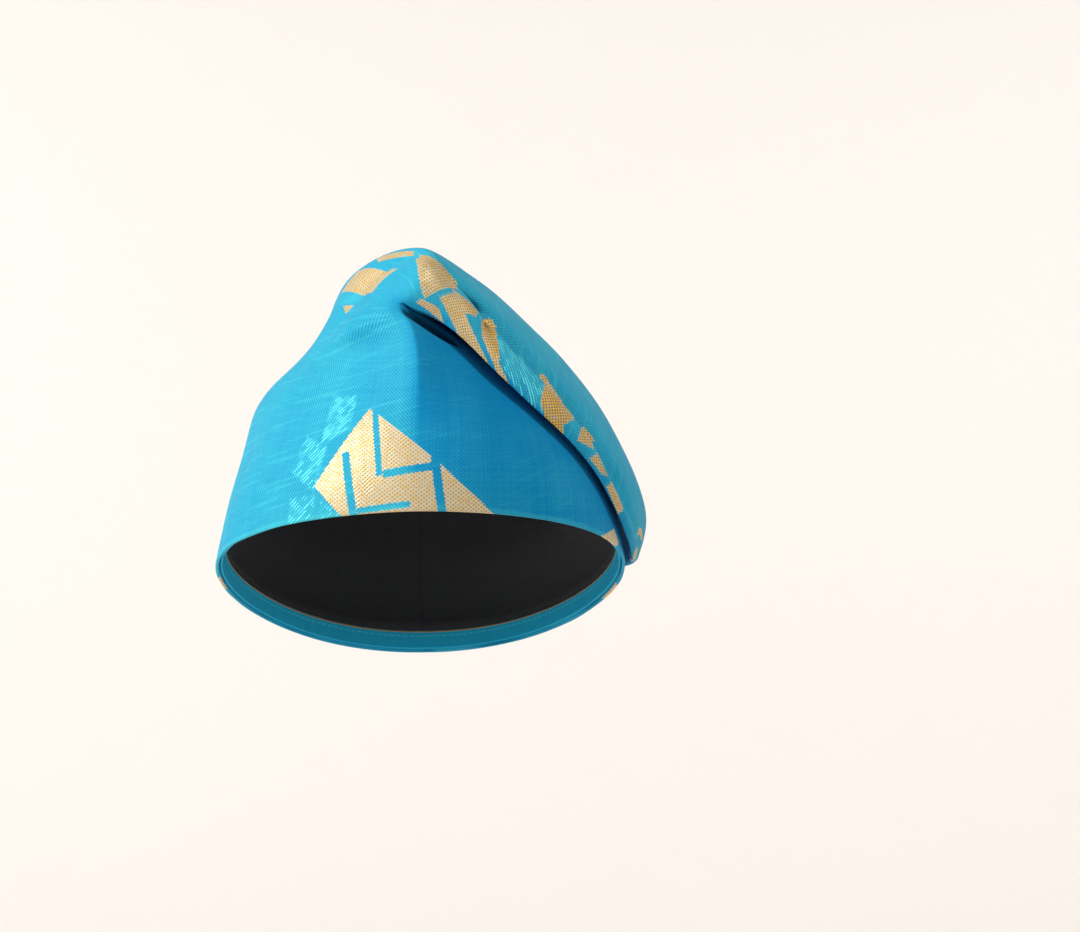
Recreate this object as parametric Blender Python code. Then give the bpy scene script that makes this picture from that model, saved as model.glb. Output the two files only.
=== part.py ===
"""A soft fila cap in its worn form: a cloth tube, closed at its top end, folded over toward +X.

Frame: metres, +Z up, the front of the cap toward -Y. The origin is where the crown of the head
touches the inside of the cap.

The cloth is a loft. Each row of SECTIONS is one loop round the tube, from the rim, up the wall,
round the fold under the flap, and down the flap to its closed end.
"""
import math

import bmesh
import bpy
import numpy as np

MM = 0.001

# Cloth
CLOTH = 1.6 * MM             # outer cloth with its backing
FACING = 1.0 * MM            # band turned inside along the rim
LINING = 1.0 * MM            # inner cloth
GAP = 0.4 * MM               # air between two pieces that lie on each other
FACING_HEIGHT = 9.0 * MM     # height of the band above the rim
FACING_INSET = 0.8 * MM      # how far the band stays above the rim's edge

# Room for the head: half width, half length and height of the lining's inner face
HEAD_HALF_WIDTH = 75.0 * MM
HEAD_HALF_LENGTH = 93.0 * MM
HEAD_HEIGHT = 105.0 * MM
LINING_BLEND = 0.20          # share of the lining's height in which it leaves the wall for the head

# Mesh
ROWS = 38                    # loops along the outer cloth
COLUMNS = 60                 # points round every loop
FRONT_SHARE = 0.44           # share of the girth, centred on the front, that has the finer columns
FRONT_COLUMNS = 0.60         # share of the columns that lie there
LINING_ROWS = 10
FACING_ROWS = 3
FINE = 6                     # normals are measured on a grid this many times finer
CURVE_STEPS = 1440           # points on a loop before it is spaced evenly
WALL_ROWS = 4                # row positions that the facing and the lining's lower edge lie within
HEIGHT_STEPS = 181           # points up the wall on which heights above the rim are measured
CREST_REACH = (0.15, 0.75)   # shares of the front outer quarter that its crest point may lie in
INSIDE = 1 - 1e-9            # keeps the end of one loop apart from the start of the next
SHARP_ANGLE = math.radians(50)   # edges sharper than this stay crisp

# One row is one loop, in millimetres. Columns:
#   outer x z, inner x z   the two sides of the loop at the depth mid_y; on the wall they are the
#                          left and right sides, on the flap the outer and the under side
#   mid_y, axis            that depth, and where the loop's axis lies from inner (0) to outer (1)
#   bow                    how the axis bends from end to end: 2 is a parabola, more is flatter
#                          in the middle
#   front x y z            the loop's front end; back x y z its back end
#   front_p, outer_p, back_p   bluntness at the front, the outer side and the back
#                          (1 is an ellipse, more is sharper, less is blunter)
#   valley_at, valley_deep, valley_half   a hollow beside the front: distance from the front
#                          toward the outer side, depth, half width
#   crest x y z, crest_pull   a point that the loop's front outer quarter is pulled to, and how far
SECTION_COLUMNS = ("outer_x outer_z inner_x inner_z mid_y axis bow front_x front_y front_z "
                   "back_x back_y back_z front_p outer_p back_p valley_at valley_deep valley_half "
                   "crest_x crest_y crest_z crest_pull").split()
SECTIONS = [
    ("rim",       (-84.8, -99.5, 90.8, -96, 0, 0.5, 2, 3, -98, -71.5, 3, 98, -138,
                  1.12, 1, 0.95, 60, 0, 9, -55, -60, -85, 0)),
    ("band",      (-82.6, -88, 89.5, -86.5, 0, 0.5, 2, 3.2, -98.5, -60, 3, 100, -122,
                  1.12, 1, 0.95, 60, 0, 9, -55, -60, -75, 0)),
    ("lower",     (-78.3, -70, 86, -73, 0, 0.5, 2, 4, -96, -47, 2, 101, -100,
                  1.16, 1, 0.95, 60, 0, 9, -55, -60, -60, 0)),
    ("temple",    (-73.3, -52.5, 79.5, -57, 0, 0.5, 2, 4.4, -92.5, -34, 1, 100, -78,
                  1.35, 1, 0.95, 60, 0, 9, -52, -60, -44, 0)),
    ("wall",      (-70.5, -37, 70, -43, 2, 0.5, 2, 4.4, -89, -24, 0, 97, -58,
                  1.6, 1, 0.95, 60, 0, 9, -49, -58, -30, 0)),
    ("shoulder",  (-67.5, -26, 58.2, -28, 4, 0.5, 2, 4.3, -85.5, -15, -2, 92, -38,
                  1.7, 0.95, 0.95, 60, 0, 9, -46, -57, -21, 0)),
    ("slope",     (-58.5, -16.5, 43.8, -14, 6, 0.5, 2, 3.8, -81.5, -6.5, -4, 86, -20,
                  1.7, 0.9, 0.95, 58, 0, 9, -43, -56, -13, 0)),
    ("saddle",    (-48, -7.5, 28, -3.8, 8, 0.5, 2, 2.2, -77.5, 1, -6, 80, -6,
                  1.6, 0.85, 0.95, 56, 0, 9, -38, -55, -7, 0.5)),
    ("hump_low",  (-40, 1, 14, 4.6, 8, 0.48, 2, -0.8, -73.5, 7.5, -7, 75, 4,
                  1.4, 0.8, 0.95, 46, 1.5, 10, -32.5, -55, -0.5, 1)),
    ("hump_mid",  (-36.5, 10.5, 5.2, 9, 8, 0.45, 2, -3.8, -70.5, 11.5, -7, 72, 10,
                  1.2, 0.8, 0.95, 42, 3.5, 10, -26, -56, 6, 1)),
    ("turn",      (-33, 20, 2.6, 11.3, 8, 0.4, 2, -4.2, -69.8, 12.6, -6.5, 71, 12.5,
                  1, 0.8, 0.95, 39, 4.5, 10, -19, -57, 12.5, 1)),
    ("hump_top",  (-26, 29.5, 5.5, 13.2, 8, 0.34, 2, -3.4, -69.5, 13.4, -5, 70.5, 14,
                  0.9, 0.8, 0.95, 37, 4.5, 9, -10.5, -58, 20.5, 1)),
    ("crown",     (-13, 37, 11, 11.6, 8, 0.28, 2.1, -1.6, -69.3, 13, -2, 70.2, 13.8,
                  0.8, 0.8, 0.95, 36, 3, 8, -2, -59, 28.5, 1)),
    ("summit",    (1, 40, 16.3, 8.8, 8, 0.24, 2.2, 0.6, -69, 11.8, 2, 69.6, 12,
                  0.7, 0.8, 0.95, 33, 3, 6, 6.5, -59, 34, 1)),
    ("flap_1",    (14, 34.3, 23, 4.2, 8, 0.2, 2.3, 7, -67.8, 10.2, 7.5, 69.8, 7.6,
                  0.65, 0.8, 0.95, 30, 4, 5, 13.5, -60, 27.5, 1)),
    ("flap_2",    (25.5, 26.3, 32, -2.2, 8, 0.17, 2.4, 14, -66.5, 6, 15.6, 70, 0.2,
                  0.6, 0.85, 0.95, 28, 5, 4.5, 20.5, -61, 19.5, 0.6)),
    ("flap_3",    (39.5, 15.8, 42.6, -10, 9, 0.15, 2.5, 22.6, -66.5, -1.4, 25.3, 69.8, -9.6,
                  0.6, 0.9, 0.95, 25.5, 5.5, 4, 29, -62, 9, 0.2)),
    ("flap_4",    (53.5, 2.5, 53.4, -19.4, 11, 0.15, 2.5, 35.2, -65, -14.4, 35.8, 68.2, -21.4,
                  0.6, 0.9, 0.95, 23, 5, 4, 38, -62, -3, 0)),
    ("flap_5",    (66.5, -11.8, 64.6, -31.8, 13, 0.15, 2.5, 50.4, -60, -27.8, 45.8, 66.3, -34.6,
                  0.6, 0.9, 0.95, 20, 5, 4, 50, -55, -15, 0)),
    ("flap_6",    (77, -25.6, 73.3, -44.1, 16, 0.15, 2.5, 62.6, -55.5, -39.4, 54.8, 64.2, -48,
                  0.6, 0.9, 0.95, 16, 4, 3.5, 60, -50, -25, 0)),
    ("flap_7",    (85, -39.2, 79.8, -56, 19, 0.15, 2.5, 72.6, -49.5, -50, 62.3, 62.4, -60.2,
                  0.65, 0.9, 0.95, 13, 4, 3, 70, -45, -40, 0)),
    ("flap_8",    (91.2, -52.8, 84.8, -67.2, 22, 0.15, 2.5, 79.4, -43.5, -60, 68.6, 60, -71.4,
                  0.7, 0.9, 0.95, 10.5, 3, 3, 80, -40, -50, 0)),
    ("flap_9",    (96.3, -65, 87.6, -76.4, 25, 0.2, 2.4, 85, -37, -70.3, 73.2, 58, -81.6,
                  0.75, 0.9, 0.95, 8, 2, 3, 90, -35, -60, 0)),
    ("flap_10",   (98.9, -76, 89.6, -85, 27, 0.25, 2.3, 89.2, -29, -79.3, 76.5, 56, -89.6,
                  0.8, 0.9, 0.95, 7, 1, 3, 90, -30, -70, 0)),
    ("flap_11",   (98, -86, 90.4, -90.7, 29, 0.35, 2.2, 92.3, -18, -86.8, 79.8, 54, -95.6,
                  0.85, 0.9, 0.95, 7, 0, 3, 90, -30, -80, 0)),
    ("end",       (95.2, -94, 90.6, -95, 30, 0.5, 2.1, 93.4, -8, -93.3, 81.6, 50.8, -98.8,
                  0.9, 0.9, 0.95, 7, 0, 3, 90, -30, -80, 0)),
]
INNER_END = 23.0             # row position at which the hollow inside the flap stops

# Soft folds that drop from the pleat at the back, and sags on the flap. Columns: from row and
# girth share (0 front, + toward the outer side, .5 back), to row and share, height and half width in mm
FOLD_COLUMNS = "row_0 share_0 row_1 share_1 height half".split()
FOLDS = [
    ("back_left",   (9.5, 0.460, 3.0, 0.370, 2.6, 13.0)),
    ("back_mid",    (9.0, -0.485, 2.5, -0.470, -2.4, 11.0)),
    ("back_right",  (9.0, -0.440, 3.0, -0.390, 2.4, 12.0)),
    ("back_low",    (6.0, 0.430, 2.2, 0.320, -1.6, 13.0)),
    ("left_drape",  (8.5, 0.300, 4.0, 0.200, -1.6, 12.0)),
    ("right_drape", (8.5, -0.330, 2.5, -0.300, 1.8, 12.0)),
    ("flap_sag",    (14.0, 0.330, 22.0, 0.300, -1.6, 9.0)),
    ("flap_back",   (14.0, 0.420, 23.0, 0.400, 1.5, 7.0)),
]
FOLD_ROW_STEP = 9.0          # cloth between two rows, for the folds' widths, in mm
FOLD_ENDS = 0.12             # where on a half sine a fold starts and ends

# Name: base colour, roughness, sheen
FINISH = {
    "turquoise_jacquard": ((0.030, 0.420, 0.640), 0.62, 0.25),
    "facing_cloth": ((0.020, 0.300, 0.480), 0.70, 0.15),
    "charcoal_lining": ((0.018, 0.020, 0.024), 0.85, 0.05),
}


def clear_scene():
    for thing in list(bpy.data.objects):
        bpy.data.objects.remove(thing, do_unlink=True)


def columns_of(table, names):
    """The table as one array per named column."""
    values = np.array([row[1] for row in table], dtype=float)
    return {name: values[:, i] for i, name in enumerate(names)}


def smooth_rows(values, at):
    """Uniform cubic B-spline with the table's rows as control values, through both end rows."""
    control = np.concatenate([[2 * values[0] - values[1]], values, [2 * values[-1] - values[-2]]])
    first = np.clip(np.floor(at).astype(int), 0, len(values) - 2)
    t = at - first
    weight = np.stack([(1 - t) ** 3, 3 * t ** 3 - 6 * t ** 2 + 4,
                       -3 * t ** 3 + 3 * t ** 2 + 3 * t + 1, t ** 3], axis=-1) / 6
    return (weight * control[first[:, None] + np.arange(4)]).sum(axis=-1)


def running_length(points, axis):
    """Distance along the points, starting at 0."""
    step = np.linalg.norm(np.diff(points, axis=axis), axis=-1)
    pad = [(0, 0)] * step.ndim
    pad[axis] = (1, 0)
    return np.pad(np.cumsum(step, axis=axis), pad)


def pull_to_crest(points, theta, crest, pull):
    """Move each loop's front outer quarter so that it passes its crest point.

    The move is a raised cosine in length along the quarter, greatest where the loop was nearest.
    """
    quarter = np.flatnonzero((theta >= 0) & (theta <= math.pi / 2 + 1e-9))
    part = points[:, quarter]
    along = running_length(part, 1)
    along /= along[:, -1:]
    each = np.arange(len(points))
    nearest = ((part - crest) ** 2).sum(axis=-1).argmin(axis=1)
    peak = np.clip(along[each, nearest], *CREST_REACH)
    power = math.log(0.5) / np.log(peak)
    weight = np.sin(math.pi * along ** power[:, None]) ** 2 * pull
    points[:, quarter] += weight[..., None] * (crest[:, 0] - part[each, nearest])[:, None]
    return points


def section_loops(row, theta):
    """Loops in mm. theta is 0 at the front, pi/2 at the outer side, pi at the back.

    A loop is four super-elliptic quarters about an axis, a bow through the front end, the middle
    and the back end.
    """
    def point(name_x, name_y, name_z):
        return np.stack([row[name_x], row[name_y], row[name_z]], axis=-1)[:, None]

    outer = point("outer_x", "mid_y", "outer_z")
    inner = point("inner_x", "mid_y", "inner_z")
    front = point("front_x", "front_y", "front_z")
    back = point("back_x", "back_y", "back_z")
    crest = point("crest_x", "crest_y", "crest_z")
    middle = inner + row["axis"][:, None, None] * (outer - inner)
    cosine, sine = np.cos(theta)[None], np.sin(theta)[None]
    end_power = np.where(cosine >= 0, row["front_p"][:, None], row["back_p"][:, None])
    side_power = np.where(sine >= 0, row["outer_p"][:, None], 1.0)
    width = (np.abs(sine) ** end_power)[..., None]
    run = (np.sign(cosine) * np.abs(cosine) ** side_power)[..., None]
    side = np.where((sine >= 0)[..., None], outer - middle, inner - middle)
    bent = np.abs(run) ** row["bow"][:, None, None]
    axis = middle + run * (front - back) / 2 + bent * ((front + back) / 2 - middle)
    return pull_to_crest(axis + width * side, theta, crest, row["crest_pull"][:, None])


def fold_height(at, share, girth):
    """Height in mm of the soft folds: each is a Gaussian ridge or hollow along a straight stretch.

    Along the stretch it rises and dies away as a half sine that starts and ends at FOLD_ENDS.
    """
    height = np.zeros(share.shape)
    for row in FOLDS:
        fold = dict(zip(FOLD_COLUMNS, row[1]))
        for turn in (-1, 0, 1):
            x = (at[:, None] - fold["row_0"]) * FOLD_ROW_STEP
            y = (share + turn - fold["share_0"]) * girth[:, None]
            run_x = (fold["row_1"] - fold["row_0"]) * FOLD_ROW_STEP
            run_y = (fold["share_1"] - fold["share_0"]) * girth[:, None]
            t = np.clip((x * run_x + y * run_y) / (run_x ** 2 + run_y ** 2), 0, 1)
            away = (x - t * run_x) ** 2 + (y - t * run_y) ** 2
            swell = np.sin(math.pi * (FOLD_ENDS + (1 - 2 * FOLD_ENDS) * t))
            height += fold["height"] * np.exp(-away / fold["half"] ** 2) * swell
    return height


def loop_normals(points):
    """Unit normals of a grid of loops, pointing out of the tube."""
    round_loop = np.roll(points, -1, axis=1) - np.roll(points, 1, axis=1)
    along = np.gradient(points, axis=0)
    normal = np.cross(along, round_loop)
    return normal / np.linalg.norm(normal, axis=-1, keepdims=True)


def cloth_surface(at, share):
    """Outer face of the cloth and its normals, in metres, at row positions and girth shares."""
    table = columns_of(SECTIONS, SECTION_COLUMNS)
    row = {name: smooth_rows(values, at) for name, values in table.items()}
    loops = section_loops(row, np.linspace(0, 2 * math.pi, CURVE_STEPS + 1))
    length = running_length(loops, 1)
    girth = length[:, -1]
    each = np.arange(len(at))[:, None]
    known = (each + length / girth[:, None] * INSIDE).ravel()
    wanted = (each + np.mod(share, 1)[None] * INSIDE).ravel()
    points = np.stack([np.interp(wanted, known, loops[..., i].ravel()) for i in range(3)], axis=-1)
    points = points.reshape(len(at), len(share), 3)
    signed = np.where(share > 0.5, share - 1, share)[None] + np.zeros((len(at), 1))
    from_front = signed * girth[:, None]
    hollow = np.exp(-((from_front - row["valley_at"][:, None]) / row["valley_half"][:, None]) ** 2)
    height = fold_height(at, signed, girth) - row["valley_deep"][:, None] * hollow
    points = points + height[..., None] * loop_normals(points)
    return points * MM, loop_normals(points)


def row_positions(count):
    """Row positions spaced by the mean length of cloth between them."""
    at = np.linspace(0, len(SECTIONS) - 1, HEIGHT_STEPS)
    table = columns_of(SECTIONS, SECTION_COLUMNS)
    loops = section_loops({name: smooth_rows(values, at) for name, values in table.items()},
                          np.linspace(0, 2 * math.pi, COLUMNS + 1))
    length = running_length(loops, 0).mean(axis=1)
    return np.interp(np.linspace(0, length[-1], count), length, at)


def girth_shares(count):
    """Girth shares from 0 to 1, closer together near the front."""
    near = FRONT_SHARE / 2
    steps = [0, FRONT_COLUMNS / 2, 1 - FRONT_COLUMNS / 2, 1]
    return np.interp(np.linspace(0, 1, count, endpoint=False), steps, [0, near, 1 - near, 1])


def finer(values, end):
    """The values with FINE steps between neighbours, the last run going on to end."""
    stops = np.append(values, end)
    return np.interp(np.arange(len(values) * FINE) / FINE, np.arange(len(stops)), stops)


def cloth_grid(at, share):
    """Points and normals at coarse positions, with the normals measured on a finer grid."""
    fine_at = finer(at, at[-1])[:(len(at) - 1) * FINE + 1]
    points, normals = cloth_surface(fine_at, finer(share, share[0] + 1))
    return points[::FINE, ::FINE], normals[::FINE, ::FINE]


def add_loop_strip(faces, lower, upper):
    """Quads between two closed loops of vertex numbers."""
    count = len(lower)
    for i in range(count):
        j = (i + 1) % count
        faces.append((lower[i], lower[j], upper[j], upper[i]))


def add_flat_cap(faces, loop, flip):
    """Close a flat loop with quads between its two long sides, point 0 and the middle its ends."""
    count = len(loop)
    for i in range(count // 2):
        quad = (loop[i], loop[i + 1], loop[(count - i - 1) % count], loop[(count - i) % count])
        quad = tuple(dict.fromkeys(quad))
        faces.append(quad[::-1] if flip else quad)


def make_piece(name, points, faces, finish):
    """A mesh object with outward faces, smooth shading and its own material."""
    mesh = bpy.data.meshes.new(name)
    mesh.from_pydata([tuple(p) for p in points], [], faces)
    work = bmesh.new()
    work.from_mesh(mesh)
    bmesh.ops.recalc_face_normals(work, faces=work.faces)
    bmesh.ops.triangulate(work, faces=work.faces, quad_method="SHORT_EDGE")
    work.to_mesh(mesh)
    work.free()
    mesh.shade_smooth()
    mesh.set_sharp_from_angle(angle=SHARP_ANGLE)
    colour, roughness, sheen = FINISH[finish]
    material = bpy.data.materials.new(finish)
    material.use_nodes = True
    shader = material.node_tree.nodes["Principled BSDF"]
    shader.inputs["Base Color"].default_value = (*colour, 1)
    shader.inputs["Roughness"].default_value = roughness
    shader.inputs["Metallic"].default_value = 0.0
    shader.inputs["Sheen Weight"].default_value = sheen
    mesh.materials.append(material)
    piece = bpy.data.objects.new(name, mesh)
    bpy.context.scene.collection.objects.link(piece)
    return piece


def wall_between(name, outer, inner, finish, end):
    """A solid between two grids of loops, joined along their first rows.

    end is "open", where the last rows are joined too, or "flat", where each grid is closed by a
    flat cap of its own.
    """
    columns = outer.shape[1]
    points = np.concatenate([outer.reshape(-1, 3), inner.reshape(-1, 3)])
    outer_id = np.arange(outer.shape[0] * columns).reshape(-1, columns)
    inner_id = outer_id.size + np.arange(inner.shape[0] * columns).reshape(-1, columns)
    faces = []
    for lower, upper in zip(outer_id[:-1], outer_id[1:]):
        add_loop_strip(faces, lower, upper)
    for lower, upper in zip(inner_id[:-1], inner_id[1:]):
        add_loop_strip(faces, upper, lower)
    add_loop_strip(faces, inner_id[0], outer_id[0])
    if end == "open":
        add_loop_strip(faces, outer_id[-1], inner_id[-1])
    else:
        add_flat_cap(faces, outer_id[-1], False)
        add_flat_cap(faces, inner_id[-1], True)
    return make_piece(name, points, faces, finish)


def make_shell():
    """The outer cloth: one wall, hollow through the flap, whose end is sewn shut."""
    at = row_positions(ROWS)
    points, normals = cloth_grid(at, girth_shares(COLUMNS))
    inside = at <= INNER_END
    inner = points[inside] - CLOTH * normals[inside]
    return wall_between("shell", points, inner, "turquoise_jacquard", "flat")


def rows_at_height(heights):
    """One loop of points on the outer face of the wall for each height above the rim, and normals."""
    share = girth_shares(COLUMNS)
    at = np.linspace(0, WALL_ROWS, HEIGHT_STEPS)
    points, normals = cloth_surface(at, share)
    above = running_length(points, 0)
    column = np.arange(COLUMNS)
    place = np.array([[np.interp(h, above[:, c], np.arange(len(at))) for c in column] for h in heights])
    near = np.floor(place).astype(int)
    t = (place - near)[..., None]
    found = points[near, column] * (1 - t) + points[near + 1, column] * t
    facing_out = normals[near, column] * (1 - t) + normals[near + 1, column] * t
    return found, facing_out / np.linalg.norm(facing_out, axis=-1, keepdims=True)


def make_rim_facing():
    """The band turned inside along the rim."""
    points, normals = rows_at_height(np.linspace(FACING_INSET, FACING_HEIGHT, FACING_ROWS))
    outer = points - (CLOTH + GAP) * normals
    inner = points - (CLOTH + GAP + FACING) * normals
    return wall_between("rim_facing", outer, inner, "facing_cloth", "open")


def lining_face(start, thickness):
    """Rows from the start loop to the crown, as a dome over the head, with the crown point last.

    The dome is a half ellipsoid. What the start loop stands off it fades out over LINING_BLEND.
    """
    half = np.array([HEAD_HALF_WIDTH, HEAD_HALF_LENGTH, HEAD_HEIGHT]) + thickness
    centre = np.array([0, 0, -HEAD_HEIGHT])
    away = (start - centre) / half
    compass = np.arctan2(away[:, 1], away[:, 0])
    first_tilt = np.arcsin(away[:, 2])
    share = np.linspace(0, 1, LINING_ROWS + 1)[:-1]
    tilt = first_tilt + share[:, None] * (math.pi / 2 - first_tilt)
    unit = np.stack([np.cos(tilt) * np.cos(compass), np.cos(tilt) * np.sin(compass),
                     np.sin(tilt)], axis=-1)
    dome = centre + unit * half
    t = np.clip(share / LINING_BLEND, 0, 1)
    fade = (1 - t * t * (3 - 2 * t))[:, None, None]
    return dome + fade * (start - dome[0]), centre + np.array([0, 0, half[2]])


def make_lining():
    """The inner cloth: a dome over the head whose lower edge meets the facing's upper edge."""
    points, normals = rows_at_height([FACING_HEIGHT + GAP])
    outer, outer_crown = lining_face(points[0] - (CLOTH + GAP) * normals[0], LINING)
    inner, inner_crown = lining_face(points[0] - (CLOTH + GAP + LINING) * normals[0], 0.0)
    outer_id = np.arange(outer.shape[0] * COLUMNS).reshape(-1, COLUMNS)
    inner_id = outer_id.size + outer_id
    crown_out = 2 * outer_id.size
    faces = []
    for lower, upper in zip(outer_id[:-1], outer_id[1:]):
        add_loop_strip(faces, lower, upper)
    for lower, upper in zip(inner_id[:-1], inner_id[1:]):
        add_loop_strip(faces, upper, lower)
    add_loop_strip(faces, inner_id[0], outer_id[0])
    for i in range(COLUMNS):
        j = (i + 1) % COLUMNS
        faces.append((outer_id[-1][i], outer_id[-1][j], crown_out))
        faces.append((inner_id[-1][j], inner_id[-1][i], crown_out + 1))
    points = np.concatenate([outer.reshape(-1, 3), inner.reshape(-1, 3), [outer_crown, inner_crown]])
    return make_piece("lining", points, faces, "charcoal_lining")


def build():
    clear_scene()
    root = bpy.data.objects.new("fila_cap", None)
    bpy.context.scene.collection.objects.link(root)
    for piece in (make_shell(), make_rim_facing(), make_lining()):
        piece.parent = root


build()
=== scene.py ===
import math

import bpy
import numpy as np
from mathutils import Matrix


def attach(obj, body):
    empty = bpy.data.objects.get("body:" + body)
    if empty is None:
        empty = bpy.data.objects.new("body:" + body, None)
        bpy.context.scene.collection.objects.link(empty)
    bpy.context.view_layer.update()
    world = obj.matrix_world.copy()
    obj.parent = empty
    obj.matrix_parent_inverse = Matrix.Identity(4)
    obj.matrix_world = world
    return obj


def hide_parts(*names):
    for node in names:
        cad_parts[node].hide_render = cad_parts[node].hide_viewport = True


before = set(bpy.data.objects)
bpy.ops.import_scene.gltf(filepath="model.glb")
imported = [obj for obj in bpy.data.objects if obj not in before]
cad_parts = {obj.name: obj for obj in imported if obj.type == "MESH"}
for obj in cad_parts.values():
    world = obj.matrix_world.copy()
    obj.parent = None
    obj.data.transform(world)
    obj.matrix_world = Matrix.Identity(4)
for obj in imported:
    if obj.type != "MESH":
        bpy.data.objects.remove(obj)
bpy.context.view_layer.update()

for spare in ("Cube", "Light", "Camera"):
    if spare in bpy.data.objects:
        bpy.data.objects.remove(bpy.data.objects[spare])

mm = 0.001
coarse = 1

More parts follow.
